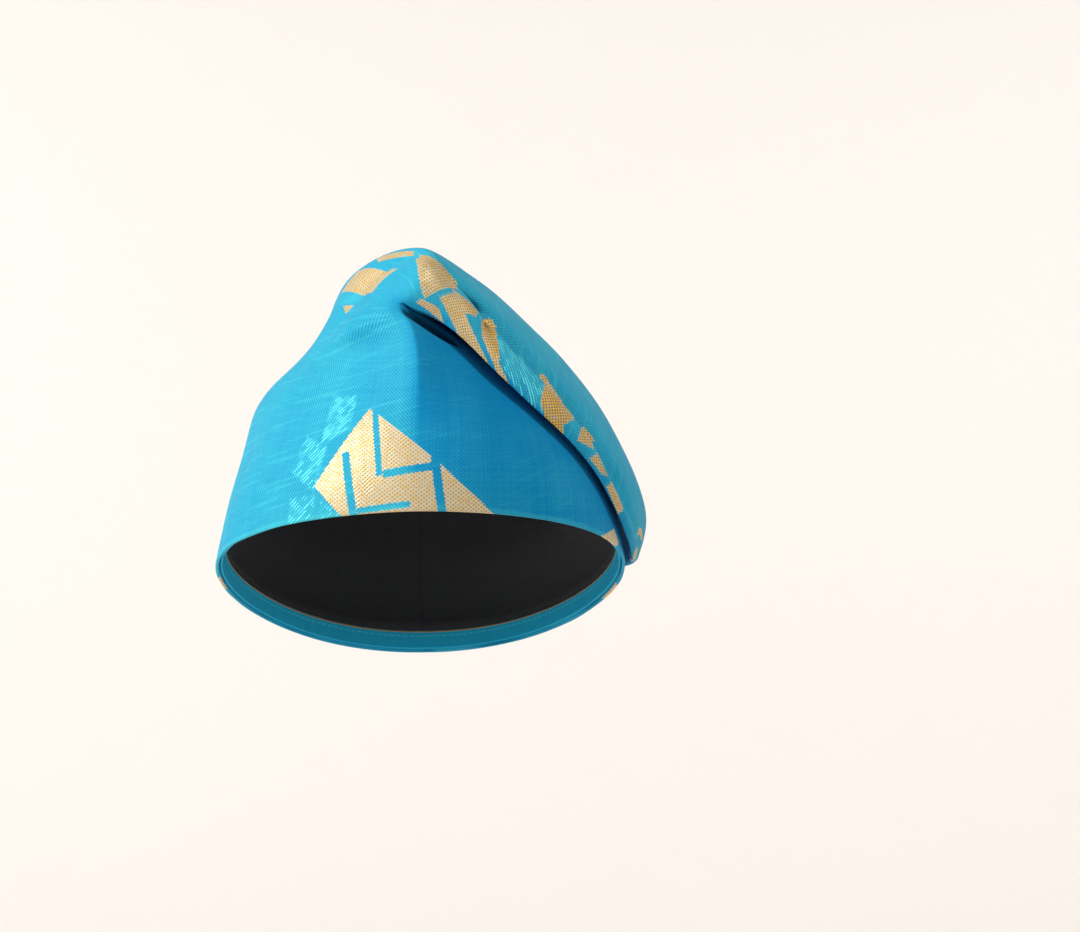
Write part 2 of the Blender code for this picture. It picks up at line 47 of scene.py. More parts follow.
# The cloth is one tube: rim, wall, the fold under the flap, then down the flap to its closed end.
# One row here is one loop of that tube, in millimetres:
#   outer x z, inner x z   the loop's two sides at the depth midY: left and right on the wall,
#                          upper and under on the flap
#   axis, bow              where the loop's middle lies from inner (0) to outer (1), and how its axis
#                          bends: 2 is a parabola
#   front, back            the two ends of the loop
#   frontP, outerP, backP  how blunt it is there: 1 is an ellipse, more is sharper, 2 a crease
#   valley                 distance from the front toward the outer side, depth and half width of a hollow
#   crest                  a point the front outer quarter is pulled to, and how far
loftNames = ("outerX outerZ innerX innerZ midY axis bow frontX frontY frontZ backX backY backZ "
             "frontP outerP backP valleyAt valleyDeep valleyHalf crestX crestY crestZ crestPull").split()
loftRows = [
    ("rim", (-84.8, -99.5, 90.8, -96, 0, .5, 2, 3, -98, -71.5, 3, 98, -138,
             1.12, 1, .95, 60, 0, 9, -55, -60, -85, 0)),
    ("band", (-82.6, -88, 89.5, -86.5, 0, .5, 2, 3.2, -98.5, -60, 3, 100, -122,
              1.12, 1, .95, 60, 0, 9, -55, -60, -75, 0)),
    ("lower", (-78.3, -70, 86, -73, 0, .5, 2, 4, -96, -47, 2, 101, -100,
               1.16, 1, .95, 60, 0, 9, -55, -60, -60, 0)),
    ("temple", (-73.3, -52.5, 79.5, -57, 0, .5, 2, 4.4, -92.5, -34, 1, 100, -78,
                1.35, 1, .95, 60, 0, 9, -52, -60, -44, 0)),
    ("wall", (-70.5, -37, 70, -43, 2, .5, 2, 4.4, -89, -24, 0, 97, -58,
              1.6, 1, .95, 60, 0, 9, -49, -58, -30, 0)),
    ("shoulder", (-67.5, -26, 58.2, -28, 4, .5, 2, 4.3, -85.5, -15, -2, 92, -38,
                  1.7, .95, .95, 60, 0, 9, -46, -57, -21, 0)),
    ("slope", (-58.5, -16.5, 43.8, -14, 6, .5, 2, 3.8, -81.5, -6.5, -4, 86, -20,
               1.7, .9, .95, 58, 0, 9, -43, -56, -13, 0)),
    ("saddle", (-48, -7.5, 28, -3.8, 8, .5, 2, 2.2, -77.5, 1, -6, 80, -6,
                1.6, .85, .95, 56, 0, 9, -38, -55, -7, .5)),
    ("humpLow", (-40, 1, 14, 4.6, 8, .48, 2, -.8, -73.5, 7.5, -7, 75, 4,
                 1.4, .8, .95, 46, 1.5, 10, -32.5, -55, -.5, 1)),
    ("humpMid", (-36.5, 10.5, 5.2, 9, 8, .45, 2, -3.8, -70.5, 11.5, -7, 72, 10,
                 1.2, .8, .95, 42, 3.5, 10, -26, -56, 6, 1)),
    ("turn", (-33, 20, 2.6, 11.3, 8, .4, 2, -4.2, -69.8, 12.6, -6.5, 71, 12.5,
              1, .8, .95, 39, 4.5, 10, -19, -57, 12.5, 1)),
    ("humpTop", (-26, 29.5, 5.5, 13.2, 8, .34, 2, -3.4, -69.5, 13.4, -5, 70.5, 14,
                 .9, .8, .95, 37, 4.5, 9, -10.5, -58, 20.5, 1)),
    ("crown", (-13, 37, 11, 11.6, 8, .28, 2.1, -1.6, -69.3, 13, -2, 70.2, 13.8,
               .8, .8, .95, 36, 3, 8, -2, -59, 28.5, 1)),
    ("summit", (1, 40, 16.3, 8.8, 8, .24, 2.2, .6, -69, 11.8, 2, 69.6, 12,
                .7, .8, .95, 33, 3, 6, 6.5, -59, 34, 1)),
    ("flap1", (14, 34.3, 23, 4.2, 8, .2, 2.3, 7, -67.8, 10.2, 7.5, 69.8, 7.6,
               .65, .8, .95, 30, 4, 5, 13.5, -60, 27.5, 1)),
    ("flap2", (25.5, 26.3, 32, -2.2, 8, .17, 2.4, 14, -66.5, 6, 15.6, 70, .2,
               .6, .85, .95, 28, 5, 4.5, 20.5, -61, 19.5, .6)),
    ("flap3", (39.5, 15.8, 42.6, -10, 9, .15, 2.5, 22.6, -66.5, -1.4, 25.3, 69.8, -9.6,
               .6, .9, .95, 25.5, 5.5, 4, 29, -62, 9, .2)),
    ("flap4", (53.5, 2.5, 53.4, -19.4, 11, .15, 2.5, 35.2, -65, -14.4, 35.8, 68.2, -21.4,
               .6, .9, .95, 23, 5, 4, 38, -62, -3, 0)),
    ("flap5", (66.5, -11.8, 64.6, -31.8, 13, .15, 2.5, 50.4, -60, -27.8, 45.8, 66.3, -34.6,
               .6, .9, .95, 20, 5, 4, 50, -55, -15, 0)),
    ("flap6", (77, -25.6, 73.3, -44.1, 16, .15, 2.5, 62.6, -55.5, -39.4, 54.8, 64.2, -48,
               .6, .9, .95, 16, 4, 3.5, 60, -50, -25, 0)),
    ("flap7", (85, -39.2, 79.8, -56, 19, .15, 2.5, 72.6, -49.5, -50, 62.3, 62.4, -60.2,
               .65, .9, .95, 13, 4, 3, 70, -45, -40, 0)),
    ("flap8", (91.2, -52.8, 84.8, -67.2, 22, .15, 2.5, 79.4, -43.5, -60, 68.6, 60, -71.4,
               .7, .9, .95, 10.5, 3, 3, 80, -40, -50, 0)),
    ("flap9", (96.3, -65, 87.6, -76.4, 25, .2, 2.4, 85, -37, -70.3, 73.2, 58, -81.6,
               .75, .9, .95, 8, 2, 3, 90, -35, -60, 0)),
    ("flap10", (98.9, -76, 89.6, -85, 27, .25, 2.3, 89.2, -29, -79.3, 76.5, 56, -89.6,
                .8, .9, .95, 7, 1, 3, 90, -30, -70, 0)),
    ("flap11", (98, -86, 90.4, -90.7, 29, .35, 2.2, 92.3, -18, -86.8, 79.8, 54, -95.6,
                .85, .9, .95, 7, 0, 3, 90, -30, -80, 0)),
    ("end", (95.2, -94, 90.6, -95, 30, .5, 2.1, 93.4, -8, -93.3, 81.6, 50.8, -98.8,
             .9, .9, .95, 7, 0, 3, 90, -30, -80, 0)),
]

# Soft folds: from loft row and girth share (0 front, + outer side, .5 back) to row and share,
# height, half width
foldRows = [
    ("backLeft",   (9.5, .460, 3.0, .370, 2.6, 13)),
    ("backMid",    (9.0, -.485, 2.5, -.470, -2.4, 11)),
    ("backRight",  (9.0, -.440, 3.0, -.390, 2.4, 12)),
    ("backLow",    (6.0, .430, 2.2, .320, -1.6, 13)),
    ("leftDrape",  (8.5, .300, 4.0, .200, -1.6, 12)),
    ("rightDrape", (8.5, -.330, 2.5, -.300, 1.8, 12)),
    ("flapSag",    (14.0, .330, 22.0, .300, -1.6, 9)),
    ("flapBack",   (14.0, .420, 23.0, .400, 1.5, 7)),
]

# Wrinkles on the outer face, in cloth coordinates (mm round from the front line, mm up from the rim):
# from around and up, to around and up, height, half width
wrinkleRows = [
    ("notchPit",   (-3, 87, -27, 82.5, -3.8, 3.4)),
    ("notchEnd",   (-6, 86, -16, 85, -1.6, 2.4)),
    ("pinchHigh",  (9, 93, 38, 88, .50, 3.2)),
    ("pinchMid",   (8, 85, 36, 72, -.40, 3.0)),
    ("pinchLow",   (6, 78, 27, 55, .40, 3.0)),
    ("slitHigh",   (28.9, 158, 28.3, 172.5, -2.1, 1.5)),
    ("slitBand",   (25, 171, 14, 160, -1.4, 1.8)),
    ("puffThird",  (26, 184, 12, 164, .90, 2.6)),
    ("puffSecond", (24, 163, 12, 142, .60, 3.0)),
    ("puffRidge",  (27, 140, 36, 153, .70, 3.4)),
    ("rollSoft",   (4, 176, 12, 214, .45, 2.2)),
    ("rollLow",    (3, 214, 9, 246, -.40, 2.0)),
    ("leftLow",    (62, 12, 96, 34, -.50, 6.0)),
    ("leftHigh",   (58, 66, 92, 50, .50, 6.5)),
]

cloth = {
    "thickness": 1.6, "columns": 440, "rows": 176, "frontShare": .44, "frontColumns": .56,
    "rowStep": 9.0,  # mm that one loft row counts for in the soft folds
    "swellTail": .12,  # where on a half sine a fold or wrinkle starts and ends: 0 lets it run out to nothing
    "waves": ((.11, .05, .13, .16, .4), (-.07, .12, .09, .16, 1.9), (.17, -.13, -.06, .10, 3.1),
              (.05, .21, -.19, .07, 5.2)),  # turn for each mm along x, y and z, height, shift
    "seamDeep": .55, "seamHalf": 1.4, "puckerTall": .22, "puckerOff": 4, "puckerHalf": 3,
    "innerRows": 60, "innerEnd": 23,  # the last loft row where the flap is thick enough for an inner face
    "followFrom": 62, "followOver": 12,  # the inner face takes up the wrinkles from this height on
    "foldFrom": .4, "foldOver": .7,  # a fold's painted shade starts at this depth and is full so much deeper, in mm
    "chartRows": 90, "chartColumns": 220, "chartFront": 6.0, "chartReach": 90.0,
}


# Uniform cubic B-spline through the table's rows, which passes both end rows
def smoothRows(values, at):
    control = np.concatenate([[2 * values[0] - values[1]], values, [2 * values[-1] - values[-2]]])
    first = np.clip(np.floor(at).astype(int), 0, len(values) - 2)
    t = at - first
    weight = np.stack([(1 - t) ** 3, 3 * t ** 3 - 6 * t ** 2 + 4,
                       -3 * t ** 3 + 3 * t ** 2 + 3 * t + 1, t ** 3], -1) / 6
    return (weight * control[first[:, None] + np.arange(4)]).sum(-1)


# Distance along the points from the first one: running sum of the steps between neighbours
def runLength(points, axis):
    step = np.linalg.norm(np.diff(points, axis=axis), axis=-1)
    pad = [(0, 0)] * step.ndim
    pad[axis] = (1, 0)
    return np.pad(np.cumsum(step, axis=axis), pad)


# Vectors brought to length 1
def unit(vectors):
    return vectors / np.maximum(np.linalg.norm(vectors, axis=-1, keepdims=True), 1e-12)


# Loops at row positions: four super-elliptic quarters, sine and cosine to a power, about a bent axis
# that runs through the front end, the middle and the back end
def loops(at, theta):
    table = np.array([row[1] for row in loftRows], float)
    row = {name: smoothRows(table[:, i], at) for i, name in enumerate(loftNames)}

    def place(x, y, z):
        return np.stack([row[x], row[y], row[z]], -1)[:, None]

    outer, inner = place("outerX", "midY", "outerZ"), place("innerX", "midY", "innerZ")
    front, back = place("frontX", "frontY", "frontZ"), place("backX", "backY", "backZ")
    crest = place("crestX", "crestY", "crestZ")
    middle = inner + row["axis"][:, None, None] * (outer - inner)
    c, s = np.cos(theta)[None], np.sin(theta)[None]
    endPower = np.where(c >= 0, row["frontP"][:, None], row["backP"][:, None])
    sidePower = np.where(s >= 0, row["outerP"][:, None], 1.0)
    width = (np.abs(s) ** endPower)[..., None]
    run = (np.sign(c) * np.abs(c) ** sidePower)[..., None]
    side = np.where((s >= 0)[..., None], outer - middle, inner - middle)
    bent = np.abs(run) ** row["bow"][:, None, None]
    points = middle + run * (front - back) / 2 + bent * ((front + back) / 2 - middle) + width * side
    # the front outer quarter is pulled to its crest point, by a sine squared of its length
    quarter = np.flatnonzero((theta >= 0) & (theta <= math.pi / 2 + 1e-9))
    part = points[:, quarter]
    along = runLength(part, 1)
    along /= along[:, -1:]
    each = np.arange(len(at))
    nearest = ((part - crest) ** 2).sum(-1).argmin(1)
    power = math.log(.5) / np.log(np.clip(along[each, nearest], .15, .75))
    weight = np.sin(math.pi * along ** power[:, None]) ** 2 * row["crestPull"][:, None]
    points[:, quarter] += weight[..., None] * (crest[:, 0] - part[each, nearest])[:, None]
    return points, row


# 1 along the straight run from the origin of x and y, fading away from it: a Gaussian across it times part of
# a half sine along it
def swell(x, y, runX, runY, half):
    t = np.clip((x * runX + y * runY) / (runX ** 2 + runY ** 2), 0, 1)
    away = (x - t * runX) ** 2 + (y - t * runY) ** 2
    tail = cloth["swellTail"]
    return np.exp(-away / half ** 2) * np.sin(math.pi * (tail + (1 - 2 * tail) * t))


# Normals out of the tube: the cross product of the steps up it and round it
def tubeNormals(points):
    aside = np.roll(points, -1, axis=1) - np.roll(points, 1, axis=1)
    return unit(np.cross(np.gradient(points, axis=0), aside))


# Outer face of the cloth in mm, its normals and its cloth coordinates: length round from the front line,
# length up from the rim. Each fold moves it along its normals by a Gaussian ridge.
def clothSurface(at, share):
    ring, row = loops(at, np.linspace(0, 2 * math.pi, 1441))
    length = runLength(ring, 1)
    girth = length[:, -1]
    each = np.arange(len(at))[:, None]
    known = (each + length / girth[:, None] * (1 - 1e-9)).ravel()
    turned = np.mod(share, 1)[None]
    wanted = (each + turned * (1 - 1e-9)).ravel()
    points = np.stack([np.interp(wanted, known, ring[..., i].ravel()) for i in range(3)], -1)
    points = points.reshape(len(at), len(share), 3)
    signed = np.where(turned >= .5, turned - 1, turned)
    around = signed * girth[:, None]
    deep, middle, half = (row["valley" + word][:, None] for word in ("Deep", "At", "Half"))
    height = -deep * np.exp(-((around - middle) / half) ** 2)
    step = cloth["rowStep"]
    for name, (row0, share0, row1, share1, tall, half) in foldRows:
        x, runX, runY = (at[:, None] - row0) * step, (row1 - row0) * step, (share1 - share0) * girth[:, None]
        for turn in (-1, 0, 1):
            height += tall * swell(x, (signed + turn - share0) * girth[:, None], runX, runY, half)
    points = points + height[..., None] * tubeNormals(points)
    return points, tubeNormals(points), around, runLength(points, 0), girth


# Row positions with even lengths of cloth between them
def evenRows(count):
    at = np.linspace(0, len(loftRows) - 1, 361)
    ring = loops(at, np.linspace(0, 2 * math.pi, 61))[0]
    length = runLength(ring, 0).mean(1)
    return np.interp(np.linspace(0, length[-1], count), length, at)


# Shares from -.5 (back) over 0 (front) to +.5, closer together near the front
def girthShares(count, front=None, columns=None):
    front, columns = front or cloth["frontShare"], columns or cloth["frontColumns"]
    steps = [0, .5 - columns / 2, .5 + columns / 2, 1]
    return np.interp(np.linspace(0, 1, count + 1), steps, [-.5, -front / 2, front / 2, .5])


# The cloth laid flat, cut at the back: two coordinates whose steps match those along the warp and the weft
# as well as a curved surface lets them, by least squares over all edges of a grid and conjugate gradients
def layFlat():
    at = evenRows(cloth["chartRows"])
    share = np.linspace(-.5, .5, cloth["chartColumns"] + 1)
    points, normals, around, up, girth = clothSurface(at, share[:-1])
    points, normals = (np.concatenate([a, a[:, :1]], 1) for a in (points, normals))
    warp = unit(np.gradient(points, axis=0))
    weft = unit(np.cross(normals, warp))
    stepUp, stepRound = np.diff(points, axis=0), np.diff(points, axis=1)
    longUp, longRound = np.linalg.norm(stepUp, axis=-1), np.linalg.norm(stepRound, axis=-1)
    care = 1 + cloth["chartFront"] * np.exp(-(share[None] * girth[:, None] / cloth["chartReach"]) ** 2)
    wide = np.pad(longRound, ((0, 0), (1, 1)), mode="edge")
    wide = (wide[:, 1:] + wide[:, :-1]) / 2
    tall = np.pad(longUp, ((1, 1), (0, 0)), mode="edge")
    tall = (tall[1:] + tall[:-1]) / 2
    heavyUp = (wide[1:] + wide[:-1]) / np.maximum(longUp, .3) * (care[1:] + care[:-1]) / 4
    heavyRound = (tall[:, 1:] + tall[:, :-1]) / np.maximum(longRound, .3) * (care[:, 1:] + care[:, :-1]) / 4

    def gather(upward, sideward):
        total = np.zeros(care.shape)
        total[1:] += upward
        total[:-1] -= upward
        total[:, 1:] += sideward
        total[:, :-1] -= sideward
        return total

    def pull(field):
        return gather(heavyUp * np.diff(field, axis=0), heavyRound * np.diff(field, axis=1))

    weight = np.zeros(care.shape)
    weight[1:] += heavyUp
    weight[:-1] += heavyUp
    weight[:, 1:] += heavyRound
    weight[:, :-1] += heavyRound
    flat = []
    for thread, guess in ((weft, share[None] * girth[:, None]), (warp, up.mean(1)[:, None] + 0 * care)):
        wantUp = (stepUp * (thread[1:] + thread[:-1]) / 2).sum(-1)
        wantRound = (stepRound * (thread[:, 1:] + thread[:, :-1]) / 2).sum(-1)
        field = guess.copy()
        rest = gather(heavyUp * wantUp, heavyRound * wantRound) - pull(field)
        move = rest / weight
        size = (rest * move).sum()
        for turn in range(900):
            change = pull(move)
            step = size / (move * change).sum()
            field += step * move
            rest -= step * change
            newSize = (rest * rest / weight).sum()
            if newSize < 1e-6:
                break
            move = rest / weight + newSize / size * move
            size = newSize
        flat.append(field - field[0, cloth["chartColumns"] // 2])
    return at, np.stack(flat, -1)


# Flat coordinates at row positions and shares, straight between the chart's own points
def flatAt(at, share):
    rows = np.interp(at, flatRows, np.arange(len(flatRows)))
    columns = (np.asarray(share) + .5) * cloth["chartColumns"]
    i = np.minimum(rows.astype(int), len(flatRows) - 2)
    j = np.minimum(columns.astype(int), cloth["chartColumns"] - 1)
    s, t = (rows - i)[:, None, None], (columns - j)[None, :, None]
    low = flatChart[i] * (1 - s) + flatChart[i + 1] * s
    return low[:, j] * (1 - t) + low[:, j + 1] * t


flatRows, flatChart = layFlat()
print("cloth laid flat", flatChart.shape)


# A mesh from vertices in mm, faces and corner coordinates in mm; UVs are in units of 100 mm
def makeMesh(name, vertices, faces, layers=None):
    mesh = bpy.data.meshes.new(name)
    mesh.from_pydata(np.asarray(vertices * mm, dtype=np.float32).tolist(), [], faces)
    for layerName, corners in (layers or {}).items():
        layer = mesh.uv_layers.new(name=layerName)
        layer.data.foreach_set("uv", np.asarray(corners / 100, np.float32).ravel())
    mesh.shade_smooth()
    mesh.validate()
    mesh.update()
    piece = bpy.data.objects.new(name, mesh)
    bpy.context.scene.collection.objects.link(piece)
    return piece


# Quads between two closed loops of vertex numbers, facing out where the loops climb an outer face
def ringFaces(lower, upper):
    return np.stack([lower, upper, np.roll(upper, -1), np.roll(lower, -1)], -1)


# Quads between all neighbouring closed loops of a grid of vertex numbers
def stackFaces(ids):
    return np.concatenate([ringFaces(ids[i], ids[i + 1]) for i in range(len(ids) - 1)])


# The corner values that go with stackFaces, from a grid that has its first column again at the end
def stackCorners(grid):
    corners = [grid[:-1, :-1], grid[1:, :-1], grid[1:, 1:], grid[:-1, 1:]]
    return np.stack(corners, 2).reshape(-1, grid.shape[-1])


# Height of the small wrinkles: straight swells in cloth coordinates, and a soft unevenness from sine waves
# across space
def wrinkles(points, around, up):
    height = np.zeros(around.shape)
    for name, (a0, u0, a1, u1, tall, half) in wrinkleRows:
        height += tall * swell(around - a0, up - u0, a1 - a0, u1 - u0, half)
    for *along, size, shift in cloth["waves"]:
        height += size * np.sin(points @ np.array(along) + shift)
    return height


# The outer cloth as one closed body: outer face, rounded rim, inner face on a coarser grid, rounded flap end
def makeShell():
    columns, rows = cloth["columns"] // coarse, cloth["rows"] // coarse
    share = girthShares(columns)
    at = evenRows(rows)
    points, normals, around, up, girth = clothSurface(at, share[:-1])
    thick = cloth["thickness"]
    # the seam at the back: a groove with a soft pucker to both sides, by Gaussians of the distance from it
    aside = girth[:, None] / 2 - np.abs(around)
    groove = cloth["seamDeep"] * np.exp(-(aside / cloth["seamHalf"]) ** 2)
    beside = np.exp(-((aside - cloth["puckerOff"]) / cloth["puckerHalf"]) ** 2)
    pucker = cloth["puckerTall"] * beside * np.sin(up / 1.9 + .6 * np.sin(up / 7))
    height = wrinkles(points, around, up) + (pucker - groove)
    body = points + height[..., None] * normals
    # rim: half a circle from the outer to the inner face
    down = unit(points[0] - points[1])
    turn = np.linspace(0, math.pi, 7)[1:-1, None, None]
    rim = body[0] - normals[0] * thick / 2 * (1 - np.cos(turn)) + down * thick / 2 * np.sin(turn)
    # inner face, up to where the flap is too thin to hold one
    innerAt = np.concatenate([at[:1], evenRows(cloth["innerRows"] // coarse)[1:]])
    innerAt = innerAt[innerAt <= cloth["innerEnd"]]
    inside, insideNormals, insideAround, insideUp = clothSurface(innerAt, share[:-1][::2])[:4]
    follow = np.clip((insideUp - cloth["followFrom"]) / cloth["followOver"], 0, 1)
    follow = follow * wrinkles(inside, insideAround, insideUp)
    inside = inside + (follow - thick)[..., None] * insideNormals
    # flap end: a quarter circle from each side to the loop's middle line
    mirror = (columns - np.arange(columns)) % columns
    middle = (body[-1] + body[-1][mirror]) / 2
    half = np.linalg.norm(body[-1] - middle, axis=1)[:, None] + .4
    onward = unit(unit(body[-1] - body[-4]) + unit(body[-1] - body[-4])[mirror])
    turn = np.radians([22.5, 45, 67.5])[:, None, None]
    end = middle + (body[-1] - middle) * np.cos(turn) + onward * half * np.sin(turn)
    last = (middle + onward * half)[: columns // 2 + 1]
    first = points[0] - normals[0] * thick
    parts = [part.reshape(-1, 3) for part in (body, rim, end, last, first, inside[1:])]
    start = np.cumsum([0] + [len(part) for part in parts])
    ids = [np.arange(low, high) for low, high in zip(start, start[1:])]
    bodyIds, rimIds, endIds = (part.reshape(-1, columns) for part in ids[:3])
    lastIds, firstIds, insideIds = ids[3], ids[4], ids[5].reshape(-1, columns // 2)
    upIds = np.concatenate([bodyIds, endIds])
    position = np.arange(columns + 1)
    lastAll = lastIds[np.minimum(position, columns - position)]
    closing = np.stack([upIds[-1], lastAll[:-1], lastAll[1:], np.roll(upIds[-1], -1)], -1)
    rimQuads = stackFaces(np.concatenate([bodyIds[:1], rimIds, firstIds[None]])[::-1])
    innerQuads = stackFaces(insideIds)[:, ::-1]
    # the coarser inner grid meets the rim in fans of three triangles
    even = np.arange(0, columns, 2)
    low, lowNext, lowEnd = firstIds[even], firstIds[even + 1], firstIds[(even + 2) % columns]
    high, highNext = insideIds[0], np.roll(insideIds[0], -1)
    joinTris = np.concatenate([np.stack([low, lowNext, high], -1), np.stack([lowNext, lowEnd, highNext], -1),
                               np.stack([lowNext, highNext, high], -1)])
    # the last inner loop is closed by strips from side to side
    cap = insideIds[-1]
    k = np.arange(len(cap) // 2)
    capQuads = np.stack([cap[-k], cap[-k - 1], cap[k + 1], cap[k]], -1)
    capFaces = [tuple(dict.fromkeys(quad)) for quad in capQuads.tolist()]
    faces = np.concatenate([stackFaces(upIds), closing, rimQuads, innerQuads]).tolist()
    faces += joinTris.tolist() + capFaces
    # corner coordinates: cloth lengths for the charted figures, flat coordinates for the weave; they run on
    # past both ends, and the inner side gets a place far from all figures
    restCorners = innerQuads.size + joinTris.size + sum(len(f) for f in capFaces)
    lengths = np.stack([np.concatenate([around, -around[:, :1]], 1), np.concatenate([up, up[:, :1]], 1)], -1)
    layers = {}
    for layerName, grid in (("cloth", lengths), ("weave", flatAt(at, share))):
        beyond = grid[-1] + np.arange(1, len(endIds) + 1)[:, None, None] * [0, .4]
        whole = np.concatenate([grid, beyond])
        top = np.stack([whole[-1], whole[-1] + [0, .5]])
        below = grid[0] - np.linspace(0, 1, len(rimIds) + 2)[::-1, None, None] * [0, 3]
        layers[layerName] = np.concatenate([stackCorners(whole), stackCorners(top), stackCorners(below),
                                            np.full((restCorners, 2), -900.0)])
    piece = makeMesh("clothShell", np.concatenate(parts), faces, layers)
    # how deep a point lies in a fold, 0 to 1: the weight of the painted shade that the material puts into the
    # folds
    fold = piece.data.attributes.new("paintedShadeDepth", "FLOAT", "POINT")
    deep = np.zeros(len(piece.data.vertices), np.float32)
    deep[:height.size] = np.clip((-height.ravel() - cloth["foldFrom"]) / cloth["foldOver"], 0, 1)
    fold.data.foreach_set("value", deep)
    return piece


shell = makeShell()
print("outer cloth", len(shell.data.polygons), "faces")


# Points and normals of the cloth's outer face at even heights above the rim
def upTheWall(heights, share):
    at = np.linspace(0, 4, 181)
    points, normals = clothSurface(at, share)[:2]
    height = runLength(points, 0)
    column, step = np.arange(len(share)), np.arange(len(at))
    place = np.array([[np.interp(h, height[:, c], step) for c in column] for h in heights])
    near = np.minimum(np.floor(place).astype(int), len(at) - 2)
    t = (place - near)[..., None]
    return (points[near, column] * (1 - t) + points[near + 1, column] * t,
            unit(normals[near, column] * (1 - t) + normals[near + 1, column] * t))


facing = {"bottom": .8, "top": 9.0, "thickness": 1.0, "gap": .4, "girth": 604.0, "columns": 240}


# A flat strip with rounded edges: its section, a rounded slot, is carried round the rim
def makeFacing():
    share = girthShares(facing["columns"] // coarse, .5, .5)
    low, high, thick = facing["bottom"], facing["top"], facing["thickness"]
    r = thick / 2
    side = np.linspace(low + r, high - r, 12)
    bend = np.linspace(0, math.pi, 6)[1:-1]
    sectionUp = np.concatenate([side, high - r + r * np.sin(bend), side[::-1], low + r - r * np.sin(bend)])
    sectionIn = np.concatenate([side * 0, r - r * np.cos(bend), side * 0 + thick, r + r * np.cos(bend)])
    base, normals = upTheWall(sectionUp, share[:-1])
    points = base - normals * (cloth["thickness"] + facing["gap"] + sectionIn[:, None, None])
    ids = np.arange(points.size // 3).reshape(points.shape[:2])
    upClosed = np.concatenate([sectionUp, sectionUp[:1]])
    grid = np.stack(np.broadcast_arrays(share[None] * facing["girth"], upClosed[:, None]), -1)
    faces = stackFaces(np.concatenate([ids, ids[:1]]))
    return makeMesh("rimFacing", points.reshape(-1, 3), faces.tolist(), {"weave": stackCorners(grid)})


rimFacing = makeFacing()
print("facing", len(rimFacing.data.polygons), "faces")

liningSize = {"thickness": 1.0, "halfWidth": 75.0, "halfLength": 93.0, "height": 105.0, "blend": .20,
              "columns": 192, "rows": 48, "gores": 4, "goreRadius": 84.0}


# The inner cloth: a half ellipsoid over the head. How far its lower edge stands off that fades out upwards,
# and shallow sine gathers run up it, none at the edge or the crown.
def makeLining():
    share = girthShares(liningSize["columns"] // coarse, .5, .5)[:-1]
    columns = len(share)
    base, normals = upTheWall([facing["top"] + facing["gap"]], share)
    t = np.linspace(0, 1, liningSize["rows"] + 1)[:-1]
    centre = np.array([0, 0, -liningSize["height"]])
    parts, crowns = [], []
    for depth in (0, liningSize["thickness"]):
        start = base[0] - normals[0] * (cloth["thickness"] + facing["gap"] + depth)
        size = np.array([liningSize["halfWidth"], liningSize["halfLength"], liningSize["height"]])
        size = size + liningSize["thickness"] - depth
        away = (start - centre) / size
        compass, firstTilt = np.arctan2(away[:, 1], away[:, 0]), np.arcsin(away[:, 2])
        tilt = firstTilt + t[:, None] * (math.pi / 2 - firstTilt)
        level = np.cos(tilt)
        dome = np.stack([level * np.cos(compass), level * np.sin(compass), np.sin(tilt)], -1) * size + centre
        fade = np.clip(t / liningSize["blend"], 0, 1)
        fade = (1 - fade * fade * (3 - 2 * fade))[:, None, None]
        points = dome + fade * (start - dome[0])
        tall = np.sin(math.pi * np.clip((t - .1) / .9, 0, 1))[:, None]
        wave = .35 * np.sin(compass * 13 + 1.3 * np.sin(3 * compass))
        wave = wave + .25 * np.sin(compass * 22 + 2 + tilt * 3)
        inward = np.stack([np.cos(compass), np.sin(compass), 0 * compass], -1)
        points = points - inward[None] * ((wave + .6) * tall)[..., None]
        parts.append(points.reshape(-1, 3))
        crowns.append(centre + [0, 0, size[2]])
    count = len(t)
    outerIds = np.arange(count * columns).reshape(count, columns)
    innerIds = outerIds + outerIds.size
    crown = 2 * outerIds.size
    topOut = np.stack([np.roll(outerIds[-1], -1), outerIds[-1], np.full(columns, crown)], -1)
    topIn = np.stack([innerIds[-1], np.roll(innerIds[-1], -1), np.full(columns, crown + 1)], -1)
    faces = (stackFaces(outerIds).tolist() + stackFaces(innerIds)[:, ::-1].tolist()
             + ringFaces(innerIds[0], outerIds[0]).tolist() + topOut.tolist() + topIn.tolist())
    # sewn from gores: each is measured from its own middle line, and its width shrinks with the cosine of the
    # height angle
    edge = np.unwrap(np.append(compass, compass[0]))
    gore = 2 * math.pi / liningSize["gores"]
    middle = (np.floor((edge[1:] + edge[:-1]) / 2 / gore) + .5) * gore
    tilt = np.concatenate([tilt, np.full((1, columns), math.pi / 2)])
    lowTilt, highTilt, turned = tilt[:-1], tilt[1:], np.roll(tilt, -1, axis=1)
    sides = [(edge[:-1], lowTilt), (edge[:-1], highTilt), (edge[1:], turned[1:]), (edge[1:], turned[:-1])]
    radius, height = liningSize["goreRadius"], liningSize["height"]
    flat = np.stack([np.stack([(a - middle) * radius * np.cos(b), b * height], -1) for a, b in sides], 2)
    wall, crownCorners = flat[:-1].reshape(-1, 4, 2), flat[-1][:, [3, 0, 1]]
    corners = [wall, wall[:, ::-1], flat[0][:, [0, 0, 3, 3]], crownCorners, crownCorners[:, [1, 0, 2]]]
    return makeMesh("headLining", np.concatenate(parts + [np.array(crowns)]), faces,
                    {"weave": np.concatenate([c.reshape(-1, 2) for c in corners])})


headLining = makeLining()
print("lining", len(headLining.data.polygons), "faces")


